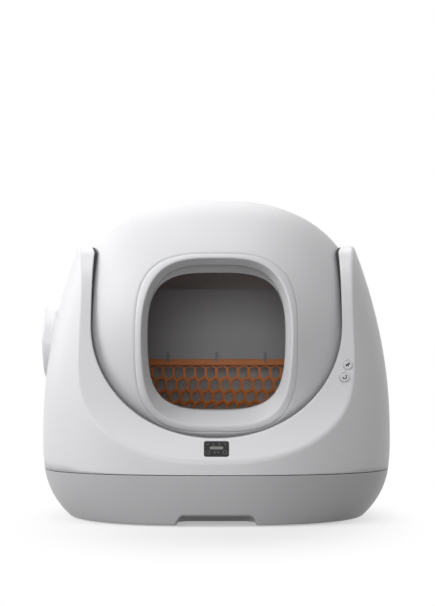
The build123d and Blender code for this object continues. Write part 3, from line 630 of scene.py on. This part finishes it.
# Through-coloured ABS with a coarse grain: a warm, matt orange that stays dark in the holes.
terracotta_abs = plastic("terracotta_abs", "#E08440", 0.55, 0.8)
put("sieve_cells", sieve_mesh, "drum", [terracotta_abs], ["sieve"])
round_bar = np.linspace(0, 2 * np.pi, 32, endpoint=False)
bar_cosine = np.sign(np.cos(round_bar)) * np.abs(np.cos(round_bar)) ** bar_corner_power
bar_sine = np.sign(np.sin(round_bar)) * np.abs(np.sin(round_bar)) ** bar_corner_power
bar_x = np.array([[-bar_half_length], [bar_half_length]])
bar_grid = np.stack(
    np.broadcast_arrays(bar_x, bar_y + bar_half_depth * bar_cosine, bar_z + bar_half_height * bar_sine),
    axis=-1,
)
bar_mesh = grid_mesh("sieve_bar", bar_grid, around=True)
put("sieve_bar", bar_mesh, "drum", [terracotta_abs])

# Display: a smoked acrylic window flush in the collar, with dim printed marks on its surface.
# The window and its marks lie on the collar's slope; each mark is a flat ring or pill.
window_half_width = 20
window_half_height = 14.5
window_corner = 4
window_z = 122
mark_out = 0.54
front_half = slice(0, len(collar) // 2)
window_y = np.interp(window_z, collar_z[front_half], collar_y[front_half])
up_y = np.interp(window_y, collar_y, collar_slope[:, 0])
up_z = np.interp(window_y, collar_y, collar_slope[:, 1])


def on_collar(across, up, out):
    """Point on the collar's slope at the display: across, up along the slope and out from it."""
    y = window_y + up * up_y - out * up_z
    return np.stack((across + 0 * y, y, window_z + up * up_z + out * up_y), axis=-1)


def pill(half_width, half_height, corner):
    """Places across and up round a rectangle with rounded corners: a circle with its quarters moved out."""
    turn = np.linspace(0, 2 * np.pi, 64, endpoint=False) + np.pi / 64
    across = np.sign(np.cos(turn)) * (half_width - corner) + corner * np.cos(turn)
    up = np.sign(np.sin(turn)) * (half_height - corner) + corner * np.sin(turn)
    return across, up


def window_row(inset, out):
    """Row round the window, drawn in by an inset and standing out from the collar."""
    line = pill(window_half_width - inset, window_half_height - inset, window_corner - inset)
    return on_collar(*line, out)


def mark(across, up, outer, inner):
    """Flat ring on the window between two rounded outlines, each a half width, half height and corner."""
    lines = [pill(*outer), pill(*inner)]
    return np.stack([on_collar(line[0] + across, line[1] + up, mark_out) for line in lines])


window_edge = ((0, -2), (0, 0.1), (0.06, 0.3), (0.2, 0.44), (0.4, 0.5), (2, 0.5))
window_grid = np.stack([window_row(*step) for step in window_edge])
# Polished black acrylic: dark and clear-edged, with a mirror-like streak of the surround.
black_acrylic = plastic("polished_black_acrylic", "#0B0B0C", 0.1, 0.5, 1.49)
window_mesh = grid_mesh("window", window_grid, around=True, last=True)
put("window", window_mesh, "housing", [black_acrylic], ["display_window"])
dim_marks = [
    mark(-14.0, 8.3, (2.4, 0.8, 0.7), (0.3, 0.1, 0.1)),
    mark(-4.7, 8.3, (1.7, 1.7, 1.7), (1.0, 1.0, 1.0)),
    mark(4.7, 8.3, (1.7, 1.7, 1.7), (0.2, 0.2, 0.2)),
    mark(14.0, 8.3, (1.9, 1.6, 0.6), (1.2, 0.9, 0.3)),
    mark(-13.4, -6.6, (3.7, 3.7, 3.7), (2.7, 2.7, 2.7)),
    mark(-2.8, -6.6, (1.3, 2.2, 1.2), (0.2, 0.3, 0.1)),
    mark(2.8, -6.6, (1.5, 1.5, 0.8), (0.2, 0.2, 0.1)),
    mark(13.4, -6.6, (3.7, 3.7, 3.7), (2.5, 2.5, 2.5)),
]
# Screen ink in two tones: dim grey for the small marks, so that they only just show, and paler for the bar.
dim_ink = plastic("dim_screen_ink", "#4A4846", 0.3, 0.5, 1.5)
pale_ink = plastic("pale_screen_ink", "#85827D", 0.3, 0.5, 1.5)
marks_mesh = grid_mesh("display_marks", *dim_marks, around=True)
put("display_marks", marks_mesh, "housing", [dim_ink])
pale_bar = mark(0, 1.4, (10.8, 2.6, 2.5), (8.0, 0.2, 0.1))
pale_bar_mesh = grid_mesh("display_bar", pale_bar, around=True)
put("display_bar", pale_bar_mesh, "housing", [pale_ink])

# Two push buttons on the right arm: white ABS caps with a shallow dish and a small dark print each.
# Each cap is a turned profile along the press, and rides on its own body.
# A hidden rod cuts its hole through the shell and leaves a fine gap round it.
cap_profile = [(7.3, 9), (7.3, 0.8), (7.22, 0.45), (7.0, 0.15), (6.6, 0), (5.9, 0.05), (0.3, 0.35)]
rod_profile = [(7.7, -160), (7.7, -215)]
round_cap = np.linspace(0, 2 * np.pi, 48, endpoint=False)


def turned(x, y, z, profile):
    """Rows turned about a line along Y through a place: each row has a radius and a depth behind it."""
    radius, depth = np.array(profile).T[..., None]
    across = x + radius * np.cos(round_cap)
    height = z + radius * np.sin(round_cap)
    return np.stack(np.broadcast_arrays(across, y + depth, height), axis=-1)


def arc(x, y, z, start, end, outer, inner):
    """Flat arc in the plane of a button's face, between two angles in degrees and two radii."""
    angle = np.radians(np.linspace(start, end, 24))
    radius = np.array([[inner], [outer]])
    across = x + radius * np.cos(angle)
    height = z + radius * np.sin(angle)
    return np.stack(np.broadcast_arrays(across, y, height), axis=-1)


# Pad-printed dark ink: flat and matt on the satin cap.
dark_ink = plastic("dark_pad_ink", "#161617", 0.5, 0.5, 1.5)
for button, button_body, button_x, button_z in (
    ("button_upper", "upper_button", 213.6, 255.5),
    ("button_lower", "lower_button", 208.0, 235.7),
):
    button_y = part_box(button)[0].y * 1000
    cap_grid = turned(button_x, button_y, button_z, cap_profile)
    cap_mesh = grid_mesh(button + "_cap", cap_grid, around=True, last=True)
    put(button + "_cap", cap_mesh, button_body, [white_abs], [button])
    if button == "button_upper":
        dot = arc(button_x + 1.9, button_y, button_z + 2.2, 0, 360, 1.6, 0.05)
        sweep = arc(button_x - 0.8, button_y, button_z - 1.0, -40, 220, 2.6, 0.1)
    else:
        dot = arc(button_x + 2.3, button_y, button_z + 2.6, 0, 360, 1.2, 0.05)
        sweep = arc(button_x, button_y, button_z, -190, 30, 3.6, 2.0)
    print_mesh = grid_mesh(button + "_print", dot, sweep)
    put(button + "_print", print_mesh, button_body, [dark_ink])
    rod_grid = turned(button_x, 0, button_z, rod_profile)
    rod_mesh = grid_mesh(button + "_hole", rod_grid, around=True, first=True, last=True)
    rod_mesh.polygons.foreach_set("use_smooth", np.zeros(len(rod_mesh.polygons), bool))
    rod = bpy.data.objects.new(button + "_hole", rod_mesh)
    bpy.context.scene.collection.objects.link(rod)
    rod.hide_render = True
    rod.hide_viewport = True
    cut = shell.modifiers.new(button, "BOOLEAN")
    cut.object = rod
    cut.operation = "DIFFERENCE"

# Round drive cover on the left arm: a shallow dome of the shell's white ABS over the gears.
# A profile of dome, rounded edge and skirt is turned about a level line, and its skirt reaches in through
# the shell's wall.
cover_face = 304
cover_height = 297
cover_wall = 3
dome_radius = 58
dome_rise = 4.5
cover_edge_round = 5
cover_skirt_x = (285, 270)
dome = np.linspace(0.5, dome_radius, 14)
edge_angle = np.linspace(0, np.pi / 2, 7)[1:]
edge_radius = dome_radius + cover_edge_round * np.sin(edge_angle)
skirt_radius = [dome_radius + cover_edge_round] * len(cover_skirt_x)
dome_x = cover_face - dome_rise * (dome / dome_radius) ** 2
cover_edge_x = cover_face - dome_rise - cover_edge_round * (1 - np.cos(edge_angle))
cover_radius = np.concatenate((dome, edge_radius, skirt_radius))[::-1, None]
cover_x = np.concatenate((dome_x, cover_edge_x, cover_skirt_x))[::-1, None]
round_cover = np.linspace(0, 2 * np.pi, 96, endpoint=False)
cover_y = cover_radius * np.cos(round_cover)
cover_z = cover_height + cover_radius * np.sin(round_cover)
cover_grid = np.stack(np.broadcast_arrays(-cover_x, cover_y, cover_z), axis=-1)
cover_mesh = grid_mesh("cover", cover_grid[:, ::-1], around=True, last=True)
cover = put("cover", cover_mesh, "housing", [white_abs], ["drive_cover"])
thicken(cover, cover_wall)

# Painted gap shade: a matt black strip behind each arm's inner edge stands for the shade in the gap to the
# drum.
# Each runs along the arm from the shell's edge to just short of the drum, and is pressed into the shell.
gap_shade_start = 262
gap_shade_wall = 1
gap_shade_press = (1, 0, 0)
gap_shade_drum_gap = 2
gap_shade_least_share = 0.15
gap_shade_most_share = 0.8
gap_shade_widens_from = 280
gap_shade_widens_over = 200
gap_shade_outer = way_end[edge[:, 2] > gap_shade_start] + gap_shade_press
gap_shade_reach = drum_reach(np.hypot(gap_shade_outer[:, 1], gap_shade_outer[:, 2] - drum_axis), gap_shade_drum_gap)
gap_shade_rise = (gap_shade_outer[:, 2] - gap_shade_widens_from) / gap_shade_widens_over
gap_shade_share = np.clip(gap_shade_rise, gap_shade_least_share, gap_shade_most_share)
gap_shade_width = (gap_shade_outer[:, 0] - gap_shade_reach) * gap_shade_share
gap_shade_inner = gap_shade_outer - gap_shade_width[:, None] * (1, 0, 0)
gap_shade_grid = np.stack((gap_shade_inner, (gap_shade_inner + gap_shade_outer) / 2, gap_shade_outer))
# Matt black, nearly without shine, shared with the rubber feet: on the arm strips it is painted shade, so
# that the gap reads as a dark line.
rubber_and_gap_shade_black = plastic("black_rubber_and_painted_gap_shade", "#1C1C1C", 0.8, 0.5, 1.52)
gap_shade_mesh = grid_mesh("painted_gap_shade_strips", gap_shade_grid, gap_shade_grid[:, ::-1] * (-1, 1, 1))
gap_shade_strips = put("painted_gap_shade_strips", gap_shade_mesh, "housing", [rubber_and_gap_shade_black])
thicken(gap_shade_strips, gap_shade_wall)

# Parts that stay as the CAD made them: cradle, frames, baffle, bin, gears, boards, feet and fasteners.
# Each takes the plastic, metal or rubber of its slot; most of them are seen only when the drum or the
# drawer moves, and the clips on the sieve have a darker grey of their own.

# Coarse-grained ABS in three greys: matt, so that the inside keeps its depth.
baffle_abs = plastic("coarse_baffle_abs", "#A6A6A9", 0.55, 0.8)
inner_abs = plastic("inner_grey_abs", "#5A5A5C", 0.55, 0.8)
clip_abs = plastic("clip_grey_abs", "#808083", 0.5, 0.8)
# PBT, acetal and solder mask: a moulded black, a milky white and a varnished green.
black_pbt = plastic("black_pbt", "#141415", 0.4, 0.5)
white_acetal = plastic("white_acetal", "#E4E1D8", 0.35, 0.5, 1.48)
green_mask = plastic("green_solder_mask", "#1F5A34", 0.4, 0.5)
# Bare rolled steel: a broad metal sheen, broken by fine mottling about 0.5 mm across.
steel_mottle = 0.5
bare_steel, steel_tree = new_tree("bare_rolled_steel")
steel_place = add_node(steel_tree, "ShaderNodeTexCoord")
steel_noise = add_node(
    steel_tree,
    "ShaderNodeTexNoise",
    {"Scale": 1000 / steel_mottle},
    {"Vector": steel_place.outputs["Object"]},
)
steel_gloss = add_node(
    steel_tree,
    "ShaderNodeMapRange",
    {"To Min": 0.25, "To Max": 0.4},
    {"Value": steel_noise.outputs["Fac"]},
)
steel_shader = add_node(
    steel_tree,
    "ShaderNodeBsdfPrincipled",
    {"Base Color": linear("#C4C3C0"), "Metallic": 1.0},
    {"Roughness": steel_gloss.outputs["Result"]},
)
add_node(steel_tree, "ShaderNodeOutputMaterial", links={"Surface": steel_shader.outputs["BSDF"]})
finishes = {
    "baffle_grey": baffle_abs,
    "sieve_terracotta": terracotta_abs,
    "inner_grey": inner_abs,
    "foot_rubber": rubber_and_gap_shade_black,
    "gear_nylon": white_acetal,
    "board_green": green_mask,
    "inlet_black": black_pbt,
    "display_black": black_pbt,
    "button_white": white_abs,
    "base_grey": grey_abs,
    "shell_white": white_abs,
    "ring_white": drum_abs,
    "bare_steel": bare_steel,
}
for subpart in frame["record"]["subparts"]:
    node_mesh = frame["nodes"][subpart["node"]].data
    node_mesh.materials.clear()
    node_mesh.materials.append(finishes[subpart["material_slot"]])
frame["nodes"]["sieve_clips"].data.materials[0] = clip_abs

# Studio: a white card floor that fades into a white surround and keeps the object's shadow near it.
# The surround is white to the camera, in gloss and through clear pieces, and dim as a light.
# A large soft light stands on the left, with weaker ones above, in front, on the right and behind.
floor_mesh = bpy.data.meshes.new("floor")
floor_mesh.from_pydata([(-9, -6, 0), (9, -6, 0), (9, 9, 0), (-9, 9, 0)], [], [(0, 1, 2, 3)])
floor = bpy.data.objects.new("floor", floor_mesh)
bpy.context.scene.collection.objects.link(floor)


def white_ray(tree):
    """Socket that is 1 for a ray from the camera, off gloss or through a clear piece, and 0 otherwise:
    the sum of the three, held at 1."""
    path = add_node(tree, "ShaderNodeLightPath")
    seen_or_gloss = add_node(
        tree,
        "ShaderNodeMath",
        links={0: path.outputs["Is Camera Ray"], 1: path.outputs["Is Glossy Ray"]},
        operation="ADD",
    )
    shown = add_node(
        tree,
        "ShaderNodeMath",
        links={0: seen_or_gloss.outputs["Value"], 1: path.outputs["Is Transmission Ray"]},
        operation="ADD",
        use_clamp=True,
    )
    return shown.outputs["Value"]


# White card: matt under the object, and a plain white glow farther off, so that no edge shows.
white_card, floor_tree = new_tree("white_card")
floor_shown = white_ray(floor_tree)
floor_place = add_node(floor_tree, "ShaderNodeTexCoord")
# The shadow's place is stretched to the front, so that it also lies under the drawer when it is out.
shadow_spot = add_node(
    floor_tree,
    "ShaderNodeMapping",
    {"Location": (0.0, 0.055, 0.0), "Scale": (1.0, 0.55, 1.0)},
    {"Vector": floor_place.outputs["Object"]},
)
away = add_node(
    floor_tree,
    "ShaderNodeVectorMath",
    links={"Vector": shadow_spot.outputs["Vector"]},
    operation="LENGTH",
)
least_glow = add_node(floor_tree, "ShaderNodeMapRange", {"To Max": 0.4}, {"Value": floor_shown})
fade = add_node(
    floor_tree,
    "ShaderNodeMapRange",
    {"From Min": 0.13, "From Max": 0.36},
    {
        "Value": away.outputs["Value"],
        "To Min": least_glow.outputs["Result"],
        "To Max": floor_shown,
    },
    interpolation_type="SMOOTHSTEP",
)
card_tone = add_node(
    floor_tree, "ShaderNodeMapRange", {"To Min": 0.28, "To Max": 0.95}, {"Value": floor_shown}
)
card = add_node(floor_tree, "ShaderNodeBsdfDiffuse", links={"Color": card_tone.outputs["Result"]})
glow = add_node(floor_tree, "ShaderNodeEmission", {"Color": linear("#FFFFFF"), "Strength": 1.0})
card_or_glow = add_node(
    floor_tree,
    "ShaderNodeMixShader",
    links={"Fac": fade.outputs["Result"], 1: card.outputs["BSDF"], 2: glow.outputs["Emission"]},
)
add_node(floor_tree, "ShaderNodeOutputMaterial", links={"Surface": card_or_glow.outputs["Shader"]})
floor_mesh.materials.append(white_card)

surround = bpy.data.worlds.new("surround")
bpy.context.scene.world = surround
surround.use_nodes = True
surround.node_tree.nodes.clear()
surround_strength = add_node(
    surround.node_tree,
    "ShaderNodeMapRange",
    {"To Min": 0.05, "To Max": 1.0},
    {"Value": white_ray(surround.node_tree)},
)
surround_white = add_node(
    surround.node_tree,
    "ShaderNodeBackground",
    {"Color": linear("#FFFFFF")},
    {"Strength": surround_strength.outputs["Result"]},
)
add_node(
    surround.node_tree,
    "ShaderNodeOutputWorld",
    links={"Surface": surround_white.outputs["Background"]},
)


def area_light(name, place, size, power):
    """Square area light at a place in metres, with a side in metres, turned to face the drum."""
    lamp = bpy.data.lights.new(name, "AREA")
    lamp.size = size
    lamp.energy = power
    held = bpy.data.objects.new(name, lamp)
    bpy.context.scene.collection.objects.link(held)
    x, y, z = np.array((0, 0, 0.3)) - place
    held.location = place
    held.rotation_euler = (np.arctan2(np.hypot(x, y), -z), 0, np.arctan2(-x, y))


area_light("key", (-4.6, -1.7, 2.7), 3.6, 186)
area_light("top", (-0.2, -0.5, 3.6), 1.6, 36)
area_light("front", (-0.5, -4.0, 0.45), 1.8, 54)
area_light("right", (4.0, -1.0, 1.5), 3.0, 20)
area_light("rim_top", (0.0, 2.5, 3.0), 2.0, 26)
area_light("rim_left", (-3.5, 2.0, 2.0), 3.0, 34)

# Camera: a long lens straight in front, 2.5 m from the drum's axis and lower than the entrance.
# It is tilted up a little, so that the object stands in the lower part of the picture.
lens = bpy.data.cameras.new("camera")
lens.sensor_width = 36
lens.lens = 84.4
camera = bpy.data.objects.new("camera", lens)
bpy.context.scene.collection.objects.link(camera)
camera.location = (0.0017, -2.5, 0.232)
camera.rotation_euler = (np.radians(93.08), 0, 0)
bpy.context.scene.camera = camera
bpy.context.scene.view_settings.view_transform = "Standard"
